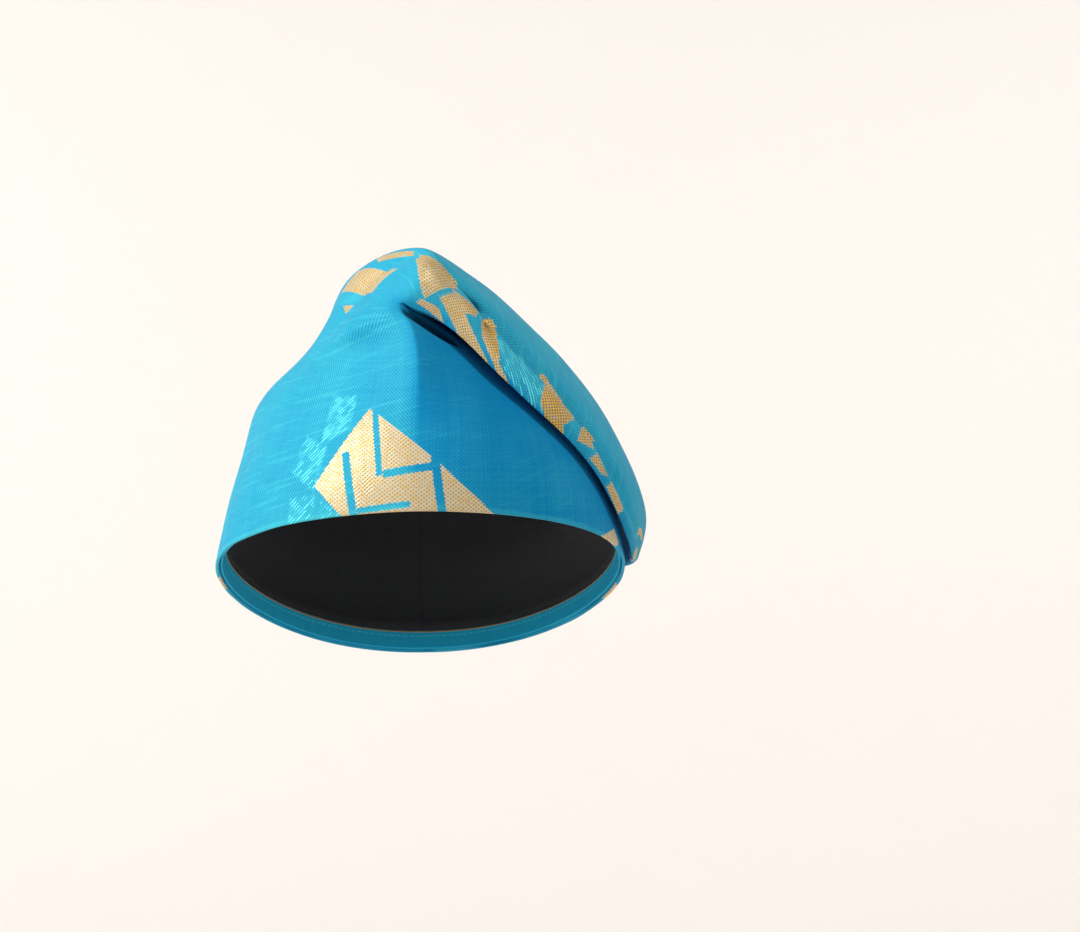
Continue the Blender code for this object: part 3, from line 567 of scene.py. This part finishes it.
# An output socket that takes plain arithmetic: each operator adds a Math node to the socket's own tree
class Wire:
    def __init__(self, socket):
        self.socket, self.tree = socket, socket.id_data

    def __add__(self, other):
        return calc("ADD", self, other)

    def __sub__(self, other):
        return calc("SUBTRACT", self, other)

    def __rsub__(self, other):
        return calc("SUBTRACT", other, self)

    def __mul__(self, other):
        return calc("MULTIPLY", self, other)

    def __truediv__(self, other):
        return calc("DIVIDE", self, other)

    __radd__ = __add__
    __rmul__ = __mul__


# Values for a node's inputs, by number or name: a wire is linked, None leaves the input alone
def fill(node, values):
    for key, value in values.items():
        socket = node.inputs[key]
        if isinstance(value, Wire):
            value.tree.links.new(value.socket, socket)
        elif value is not None:
            socket.default_value = (*value, 1) if socket.type == "RGBA" else value


# One node, its inputs filled in order or by name, its own properties set; gives back its outputs
def addNode(tree, kind, values=(), **settings):
    node = tree.nodes.new("ShaderNode" + kind)
    for key, value in settings.items():
        setattr(node, key, value)
    fill(node, values if isinstance(values, dict) else dict(enumerate(values)))
    return [Wire(socket) for socket in node.outputs]


# The tree of the first wire among the values, since a plain number has none
def treeOf(values):
    return next(value.tree for value in values if isinstance(value, Wire))


# One Math node
def calc(operation, *values):
    return addNode(treeOf(values), "Math", values, operation=operation)[0]


# The dot product of two vectors
def dot(vector, other):
    return addNode(vector.tree, "VectorMath", (vector, other), operation="DOT_PRODUCT")[1]


# The x and y of a vector
def split(vector):
    return addNode(vector.tree, "SeparateXYZ", [vector])[:2]


# A vector from its x, y and, where it is given, z
def join(*parts):
    return addNode(treeOf(parts), "CombineXYZ", parts)[0]


# 0 below low, 1 above high, smooth or straight between
def ramp(value, low, high, between="SMOOTHSTEP"):
    return addNode(value.tree, "MapRange", (value, low, high, 0, 1), interpolation_type=between)[0]


# From the first value to the second; the Mix node has a pair of inputs and an output for each kind
def mix(kind, factor, first, second):
    skipped = {"FLOAT": 1, "VECTOR": 3, "RGBA": 5}[kind]
    values = (factor, *[None] * skipped, first, second)
    return addNode(treeOf(values), "Mix", values, data_type=kind)[skipped // 2]


# Relief of the given strength and depth in m, for a shader's Normal
def bumped(height, strength, depth):
    return addNode(height.tree, "Bump", {"Height": height, "Strength": strength, "Distance": depth})[0]


# A shader group with named sockets: its body takes wires for the inputs and gives back the outputs
def makeGroup(name, inputs, outputs, body):
    tree = bpy.data.node_groups.new(name, "ShaderNodeTree")
    for direction, sockets in (("INPUT", inputs), ("OUTPUT", outputs)):
        for socketName, kind in sockets.items():
            tree.interface.new_socket(socketName, in_out=direction, socket_type="NodeSocket" + kind)
    given = [Wire(socket) for socket in tree.nodes.new("NodeGroupInput").outputs][:len(inputs)]
    fill(tree.nodes.new("NodeGroupOutput"), dict(enumerate(body(*given))))
    return tree


def effect(group, *values):
    return addNode(treeOf(values), "Group", values, node_tree=group)


# How deep a point (x, y, 1) lies inside a four-sided figure: the least of its distances to the four edges
def figureDepth(cell, *edges):
    a, b, c, d = (dot(cell, edge) for edge in edges)
    return [calc("MINIMUM", calc("MINIMUM", a, b), calc("MINIMUM", c, d))]


# Dots in brick order: cosine across times cosine up, +1 at each dot and -1 between, and each dot's own tone
def brickDots(weave, along, across):
    x, y = split(weave)
    x, y = x / along, y / across
    cell = join(calc("ROUND", x * 2), calc("ROUND", y))
    tone = addNode(weave.tree, "TexWhiteNoise", [cell], noise_dimensions="2D")[0]
    return calc("COSINE", x * (2 * math.pi)) * calc("COSINE", y * math.pi), tone


# Plain weave: relief is a cosine product with every other crossing over, tone differs from thread to thread
def wovenThreads(weave, pitch):
    x, y = (axis / pitch for axis in split(weave))
    relief = calc("COSINE", x * math.pi) * calc("COSINE", y * math.pi) * .5 + .5
    tones = [addNode(weave.tree, "TexWhiteNoise", (None, calc("ROUND", axis)), noise_dimensions="1D")[0]
             for axis in (x, y)]
    return relief, (tones[0] + tones[1]) * .5


# Broad unevenness of dye and handling: octaves of noise in object space, about .5
def handling(place):
    return [addNode(place.tree, "TexNoise", (place, None, 22, 3, .55))[0]]


figureGroup = makeGroup("figureDepth", {"Cell": "Vector", **{f"Edge {i}": "Vector" for i in range(1, 5)}},
                        {"Depth": "Float"}, figureDepth)
dotGroup = makeGroup("brickDots", {"Weave": "Vector", "Along": "Float", "Across": "Float"},
                     {"Dot": "Float", "Tone": "Float"}, brickDots)
threadGroup = makeGroup("wovenThreads", {"Weave": "Vector", "Pitch": "Float"},
                        {"Relief": "Float", "Tone": "Float"}, wovenThreads)
handlingGroup = makeGroup("handling", {"Place": "Vector"}, {"Shade": "Float"}, handling)
print("weave groups ready")


# Each edge as inward normal and offset, so that its dot product with (x, y, 1) is a distance; a figure of
# three corners has its last edge twice
def figureEdges(corners):
    corners = np.array(corners, float)
    along = unit(np.roll(corners, -1, axis=0) - corners)
    normals = np.stack([-along[:, 1], along[:, 0]], -1)
    offset = -(normals * corners).sum(-1)
    side = np.sign(normals @ corners.mean(0) + offset)[:, None]
    edges = np.concatenate([normals, offset[:, None]], -1) * side
    return edges[[0, 1, 2, -1]].tolist()


# The deepest of several figures at a point, so that they merge
def mergedDepth(cell, figures):
    depth, *others = [effect(figureGroup, cell, *figureEdges(corners))[0] for name, corners in figures]
    for other in others:
        depth = calc("MAXIMUM", depth, other)
    return depth


# A straight band as a figure: from one point to another, so wide
def band(x0, y0, x1, y1, wide):
    start, end = np.array([x0, y0]), np.array([x1, y1])
    side = unit(np.array([y0 - y1, x1 - x0])) * wide / 2
    return [start + side, end + side, end - side, start - side]


# The woven figures, in mm of cloth: corners as (round from the front line, up from the rim)
spireOutline = [("spire", [(44.2, 13), (20.9, 44), (-45.7, -10.8), (20, -10.8)])]
spireBands = [
    ("topBand",    band(18.6, 47, 14.4, 14.4, 2.7)),
    ("crossBand",  band(13, 14.9, -9, 17.6, 3.3)),
    ("rightBand",  band(-7.9, 22, -13.6, -12, 3.7)),
    ("leftBand",   band(30.1, 25.7, 23, -12, 3.5)),
    ("hemBand",    band(23.7, .6, 1.3, 2.2, 2.6)),
]
spireSparkle = [
    ("upper",      [(40, 53.5), (28.5, 51.5), (30, 36.5), (43, 31)]),
    ("middle",     [(52, 36), (40.5, 29), (44.5, 11.5), (58, 22)]),
    ("lower",      [(56.4, 9.3), (44.3, 8.6), (44.4, -2), (56.8, -2)]),
    ("corner",     [(40, 5.5), (38.2, 5), (31, -1), (42, -2)]),
]
frontFigures = [
    ("humpSliver", [(60.1, 147.4), (41.5, 144.8), (38.2, 140.7), (47.7, 135.8)]),
    ("humpBlock",  [(60, 137.3), (21.7, 119.2), (20.2, 103.2), (62, 126)]),
    ("humpTip",    [(49, 111.1), (42.1, 109.3), (44.7, 105.1)]),
    ("ridgeTop",   [(37.5, 143), (18.4, 125.8), (14, 135.5), (34.8, 149.6)]),
    ("ridgeFoot",  [(18.4, 125.8), (4.7, 110), (9.6, 123.6), (14, 135.5)]),
    ("ridgeSide",  [(14, 135.5), (18.8, 147.9), (31.9, 158.6), (34.8, 149.6)]),
    ("notchTip",   [(1.7, 102), (3.8, 107.2), (3.4, 114.6), (-1.5, 111)]),
    ("rollWide",   [(7.4, 121.2), (15, 141.6), (-3, 136.5), (-3, 118.5)]),
    ("rollPoint",  [(10, 139), (15.6, 139.6), (18.2, 159.6), (14, 152.2)]),
    ("cutHigh",    [(16.2, 158.7), (28.2, 176.8), (27, 180.7), (9.8, 160.1)]),
    ("cutMid",     [(7.9, 147.2), (15.9, 159), (9.8, 160.1), (4.3, 150.7)]),
    ("cutLow",     [(-2.5, 140.5), (7.9, 147.2), (4.3, 150.7), (-2.5, 147.5)]),
    ("bigHigh",    [(12.6, 192.2), (23.6, 207), (18.8, 216.4), (9.6, 205.9)]),
    ("bigMid",     [(3.4, 172.9), (12.6, 192.2), (9.6, 205.9), (3, 186.2)]),
    ("bigLow",     [(-2, 168), (3.4, 172.9), (3, 186.2), (-2, 178)]),
    ("second",     [(3, 196), (16.3, 227.5), (15.2, 233.9), (6.2, 213.5)]),
    ("third",      [(1.9, 203), (7.2, 219.8), (5.7, 228.3), (2.2, 212.8)]),
    ("fourth",     [(1, 216), (9.2, 243.6), (4, 242), (0, 227)]),
    ("endHigh",    [(8, 282.2), (18.9, 300.3), (18.7, 311.9)]),
    ("endLow",     [(-25, 277), (1.2, 266), (9.6, 299.6), (-2, 300)]),
    ("rimRight",   [(-97.5, -1), (-115.1, 6.5), (-119.5, 1.5), (-113, -4)]),
    ("rimFarLeft", [(150, -4), (161, 7), (170, -4)]),
    ("rimFarRight", [(-171, -4), (-183, 8), (-194, -4)]),
]
frontSparkle = [
    ("rollSparkleHigh", [(12.2, 162.5), (24, 197), (10.2, 185), (4, 158)]),
    ("rollSparkleLow",  [(5, 152.5), (10.6, 187), (1.7, 171.6), (-3, 155)]),
]
# where the spire figure is woven again, as a whole diamond, on the sides that the front doesn't show:
# middle in flat mm, mirror, turn, size against the front one
spirePlaces = [
    ("backLeft",  (145, 25, 1, .10, .78)),
    ("backRight", (-152, 24, -1, -.05, .78)),
    ("crownBack", (132, 122, -1, .30, .72)),
    ("flapOuter", (100, 214, 1, .30, .80)),
]

jacquard = {
    "deep": (0, .26, .54), "bright": (.085, .69, .76), "sparkle": (.16, .91, 1.0),
    "gold": (.86, .50, .08), "paleGold": (.80, .70, .47), "goldShade": (.10, .11, .14),
    # painted shade: the dark blue that the deepest folds are coloured toward
    "paintedFoldShade": (.001, .03, .07),
    # what moves the ground from deep to bright, each by this much; the figured share also lightens the lit
    # side of the front as painted light, and so leaves the shaded side darker
    "lift": {"base": -.10, "figured": .52, "hatch": .20, "streak": .17, "thread": .16, "dye": .50,
             "sparkle": .10, "worn": .22},
    # how rich the gold is at the rim, then from and to which height in mm it changes, by how much
    "goldRich": .75, "goldSteps": ((40, 130, -.23, "LINEAR"), (142, 160, -.40, "SMOOTHSTEP"),
                                   (184, 206, .34, "SMOOTHSTEP")),
    # how far the painted shade darkens the deepest folds
    "paintedFoldShare": .9, "goldMetal": .22, "dashMetal": .15,
    "relief": {"hatch": .16, "thread": .25, "dot": -.14},
    "dotAlong": 1.6, "dotAcross": .8, "dashLong": 5.5, "dashApart": 1.05, "threadPitch": .42,
    "hatchPitch": .98, "hatchRise": .573, "hatchRun": .82, "diamondWide": 17.0, "diamondTall": 26.0,
    "roughness": .6, "goldRoughness": .42, "specular": .06, "reliefStrength": .55, "reliefDepth": .00035,
    "sheen": .04, "sheenRoughness": .45, "sheenTint": (.75, .93, 1.0),
    "frontReach": 75.0, "baseLine": 10.8,  # how far the front spire counts and how low it is widest, in mm
}


# A new material on a piece: its node tree and its shader
def newMaterial(piece, name):
    material = bpy.data.materials.new(name)
    material.use_nodes = True
    piece.data.materials.append(material)
    return material.node_tree, material.node_tree.nodes["Principled BSDF"]


# The point (x, y, 1) in mm on the named UV layer
def cellOf(tree, layerName):
    source = addNode(tree, "UVMap", uv_map=layerName)[0]
    return addNode(tree, "VectorMath", (source, (100, 100, 0), (0, 0, 1)), operation="MULTIPLY_ADD")[0]


# The unevenness of handling at a point of the piece
def dyeShade(tree):
    return effect(handlingGroup, addNode(tree, "TexCoord")[3])[0]  # 3 is the Object output


# The cell for the spire figure: near the front line the cloth's own, elsewhere that of the nearest other
# place, shifted, turned and mirrored by two dot products and folded about its base line into a diamond
def spireCell(cell, yarn):
    chosen = None
    for name, (x, y, mirror, turn, size) in spirePlaces:
        c, s = math.cos(turn) / size, math.sin(turn) / size
        across = dot(yarn, (c * mirror, s * mirror, -(c * x + s * y) * mirror))
        along = calc("ABSOLUTE", dot(yarn, (-s, c, s * x - c * y)))
        there = join(across, along - jacquard["baseLine"], 1)
        away = calc("MAXIMUM", calc("ABSOLUTE", across), along)
        if chosen is None:
            chosen, least = there, away
        else:
            chosen = mix("VECTOR", calc("LESS_THAN", away, least), chosen, there)
            least = calc("MINIMUM", away, least)
    x, y = split(cell)
    reach = jacquard["frontReach"]
    front = calc("LESS_THAN", calc("ABSOLUTE", x), reach) * calc("LESS_THAN", y, reach)
    return mix("VECTOR", front, chosen, cell)


# The sum of the parts, each times its share of the same name, and the base
def blended(shares, **parts):
    return sum((part * shares[name] for name, part in parts.items()), shares.get("base", 0))


def makeJacquard():
    look = jacquard
    tree, shader = newMaterial(shell, "turquoiseJacquard")
    cell, yarn = cellOf(tree, "cloth"), cellOf(tree, "weave")
    around, up = split(cell)
    dotRelief, dotTone = effect(dotGroup, yarn, look["dotAlong"], look["dotAcross"])
    threadRelief, threadTone = effect(threadGroup, yarn, look["threadPitch"])
    shade = dyeShade(tree)
    # the spire is its outline less its bands
    spire = spireCell(cell, yarn)
    gold = calc("MINIMUM", mergedDepth(spire, spireOutline), mergedDepth(spire, spireBands) * -1)
    gold = calc("MAXIMUM", gold, mergedDepth(cell, frontFigures))
    sparkle = calc("MAXIMUM", mergedDepth(spire, spireSparkle), mergedDepth(cell, frontSparkle))
    # whole floats only: the figure's edge steps round the dots
    goldMask = ramp(gold - dotRelief * .32, -.06, .06)
    # dashes of bright lurex on a slant, each as long as its own tone allows
    dashRun, dashSide = dot(yarn, (-.60, .80, 0)), dot(yarn, (.80, .60, 0))
    dashTone = effect(dotGroup, join(dashRun, dashSide), look["dashLong"], look["dashApart"])[1]
    dashRow = calc("COSINE", dashSide * (2 * math.pi / look["dashApart"]))
    sparkleArea = ramp(sparkle, -1.5, .6)
    dashMask = ramp(dashTone * 1.3 + dashRow * .8 - .65, .30, .90) * sparkleArea
    # ground: fine hatching that changes its slant from diamond to diamond
    wide, tall = look["diamondWide"], look["diamondTall"]
    flatX, flatY = split(yarn)
    diamond = calc("PINGPONG", flatX, wide) / wide + calc("PINGPONG", flatY, tall) / tall
    turn = 2 * math.pi / look["hatchPitch"]
    hatches = [calc("COSINE", dot(yarn, (look["hatchRun"] * turn, rise * turn, 0)))
               for rise in (-look["hatchRise"], look["hatchRise"])]
    hatch = mix("FLOAT", ramp(diamond, .985, 1.015), *hatches)
    # soft pale streaks that rise toward the pinch: noise drawn out along them
    drawn = join(dot(yarn, (-.030, .012, 0)), dot(yarn, (.20, .50, 0)))
    streak = ramp(addNode(tree, "TexNoise", (drawn, None, 1, 1.5, .6))[0], .54, .68)
    # the figured ground lies mostly on the wearer's right; elsewhere, and toward the back seam, it is
    # fainter. The same mask is painted light too: it makes the lit side of the front crease lighter and the
    # shaded side darker
    figured = ramp(around, -4, 8) * (1 - ramp(around, 120, 230)) * .65 + .35
    # the rim's fold is rubbed paler
    worn = 1 - ramp(up - shade * 2, -.6, .9)
    lift = blended(look["lift"], figured=figured, hatch=hatch * figured, streak=streak * figured,
                   thread=threadTone - .5, dye=shade - .5, sparkle=sparkleArea, worn=worn)
    ground = mix("RGBA", lift, look["deep"], look["bright"])
    # the gold floats are palest low on the wall, richest at the roll's middle, and dark between the dots
    rich = look["goldRich"]
    for low, high, change, between in look["goldSteps"]:
        rich = rich + ramp(up, low, high, between) * change
    goldTone = mix("RGBA", (dotTone - .5) * .75 + rich, look["gold"], look["paleGold"])
    goldDark = ramp(dotRelief, .05, .75) * (1.05 - rich * .70)
    goldColour = mix("RGBA", goldDark, goldTone, look["goldShade"])
    colour = mix("RGBA", goldMask, mix("RGBA", dashMask, ground, look["sparkle"]), goldColour)
    # painted shade: the colour is darkened in the deepest folds, where light hardly reaches
    fold = addNode(tree, "Attribute", attribute_name="paintedShadeDepth")[2]  # 2 is the Fac output
    colour = mix("RGBA", fold * look["paintedFoldShare"], colour, look["paintedFoldShade"])
    # relief of threads, hatching and dots, the same under all figures
    relief = blended(look["relief"], hatch=hatch, thread=threadRelief, dot=dotRelief)
    shine = calc("MAXIMUM", goldMask, dashMask)
    fill(shader, {
        "Base Color": colour,
        "Metallic": calc("MAXIMUM", goldMask * look["goldMetal"], dashMask * look["dashMetal"]),
        "Roughness": mix("FLOAT", shine, look["roughness"], look["goldRoughness"]),
        "Normal": bumped(relief, look["reliefStrength"], look["reliefDepth"]),
        "Specular IOR Level": look["specular"], "Sheen Weight": look["sheen"],
        "Sheen Roughness": look["sheenRoughness"], "Sheen Tint": look["sheenTint"],
    })


facingLook = {"deep": (.001, .34, .64), "bright": (.03, .60, .84), "selvedgeHighlight": (.55, .38, .18), "edgeUp": 8.1,
              "stitch": (.08, .62, .82), "stitchUp": 6.6, "stitchHalf": .28, "stitchPitch": 3.2,
              "threadPitch": .42, "twillPitch": .8, "roughness": .72, "specular": .15, "reliefDepth": .0003}


def makeFacingTwill():
    look = facingLook
    tree, shader = newMaterial(rimFacing, "facingTwill")
    yarn = cellOf(tree, "weave")
    along, up = split(yarn)
    threadRelief, threadTone = effect(threadGroup, yarn, look["threadPitch"])
    turn = 2 * math.pi / look["twillPitch"]
    twill = calc("COSINE", dot(yarn, (.75 * turn, .66 * turn, 0)))
    ground = mix("RGBA", twill * .18 + threadTone * .35 + .2, look["deep"], look["bright"])
    # a running stitch along the turned band, and at its upper edge a tan selvedge line that is also a painted
    # highlight of the light caught by that edge
    level = calc("ABSOLUTE", up - look["stitchUp"])
    dash = calc("COSINE", along * (2 * math.pi / look["stitchPitch"]))
    stitch = (1 - ramp(level, look["stitchHalf"] * .7, look["stitchHalf"])) * ramp(dash, -.55, -.3)
    # painted highlight: the band's top edge is coloured tan
    edge = ramp(up, look["edgeUp"], look["edgeUp"] + .2)
    fill(shader, {
        "Base Color": mix("RGBA", edge, mix("RGBA", stitch, ground, look["stitch"]), look["selvedgeHighlight"]),
        "Normal": bumped(stitch * .9 + twill * .2 + threadRelief, .5, look["reliefDepth"]),
        "Specular IOR Level": look["specular"], "Roughness": look["roughness"],
    })


liningLook = {"deep": (.0035, .005, .007), "bright": (.009, .013, .017), "roughness": .85, "threadPitch": .8,
              "seamHalf": .7, "reliefDepth": .0003}


def makeLiningWeave():
    look = liningLook
    tree, shader = newMaterial(headLining, "charcoalWeave")
    yarn = cellOf(tree, "weave")
    across, up = split(yarn)
    threadRelief, threadTone = effect(threadGroup, yarn, look["threadPitch"])
    # distance from the gore's edge: its half width at this height less the distance from its middle line
    goreHalf = math.pi / liningSize["gores"] * liningSize["goreRadius"]
    inset = calc("COSINE", up / liningSize["height"]) * goreHalf - calc("ABSOLUTE", across)
    seam = 1 - ramp(inset, look["seamHalf"] * .4, look["seamHalf"])
    lift = (threadTone * .5 + dyeShade(tree) * .4) * (1 - seam * .85)
    fill(shader, {
        "Base Color": mix("RGBA", lift, look["deep"], look["bright"]), "Roughness": look["roughness"],
        "Normal": bumped(threadRelief - seam * 2.5, .5, look["reliefDepth"]),
    })


makeJacquard()
makeFacingTwill()
makeLiningWeave()
print("materials ready")

for piece, node, slotName in ((shell, "shell", "turquoise_jacquard"),
                              (rimFacing, "rim_facing", "facing_cloth"),
                              (headLining, "lining", "charcoal_lining")):
    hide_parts(node)
    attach(piece, "root")

studio = {
    "floorZ": -.72, "wallY": 2.1, "bend": .3, "paper": (.93, .885, .835),
    "lamps": (  # name, power in W, place, size, aimed at
        ("keyLamp",    30, (-1.45, -.75, .65), .6, (0, 0, -.05)),
        ("rightLamp",  12, (.85, -.75, 1.25), .6, (0, 0, -.05)),
        ("fillLamp",   2, (1.2, -1.5, .1), 1.4, (0, 0, -.05)),
        ("paperLeft",  9, (-1.2, .75, .35), .9, (-.55, 2.1, -.05)),
        ("paperRight", 9, (1.2, .75, .35), .9, (.55, 2.1, -.05)),
    ),
    "air": (.97, .96, 1.0), "airStrength": .20,
    "cameraAt": (.054, -1.6, -.054), "lens": 124.53,
}


# Paper sweep: flat floor, a quarter circle and a wall, as one profile carried sideways; lamps and camera
def makeStudio():
    bend = np.linspace(0, math.pi / 2, 24)
    r = studio["bend"]
    y = np.concatenate([[-3.0], studio["wallY"] - r + r * np.sin(bend), [studio["wallY"]]])
    z = np.concatenate([[0.0], r - r * np.cos(bend), [5.0]]) + studio["floorZ"]
    points = np.stack(np.broadcast_arrays(np.array([-4.5, 4.5])[None], y[:, None], z[:, None]), -1)
    ids = np.arange(points.size // 3).reshape(-1, 2)
    faces = np.stack([ids[:-1, 0], ids[:-1, 1], ids[1:, 1], ids[1:, 0]], -1)
    sweep = makeMesh("paperSweep", points.reshape(-1, 3) / mm, faces.tolist())
    fill(newMaterial(sweep, "palePaper")[1], {"Base Color": studio["paper"], "Roughness": .9})
    world = bpy.data.worlds.new("studioAir")
    world.use_nodes = True
    fill(world.node_tree.nodes["Background"], {"Color": studio["air"], "Strength": studio["airStrength"]})
    bpy.context.scene.world = world
    for name, power, place, size, target in studio["lamps"]:
        light = bpy.data.lights.new(name, "AREA")
        light.energy, light.size = power, size
        lamp = bpy.data.objects.new(name, light)
        lamp.location = place
        x, y, z = np.subtract(target, place)
        lamp.rotation_euler = (math.atan2(math.hypot(x, y), -z), 0, math.atan2(-x, y))
        bpy.context.scene.collection.objects.link(lamp)
    camera = bpy.data.cameras.new("photoCamera")
    camera.sensor_width, camera.lens = 36, studio["lens"]
    holder = bpy.data.objects.new("photoCamera", camera)
    holder.location = studio["cameraAt"]
    holder.rotation_euler = (math.pi / 2, 0, 0)
    bpy.context.scene.collection.objects.link(holder)
    bpy.context.scene.camera = holder
    bpy.context.scene.view_settings.view_transform = "Standard"


makeStudio()
print("studio ready")
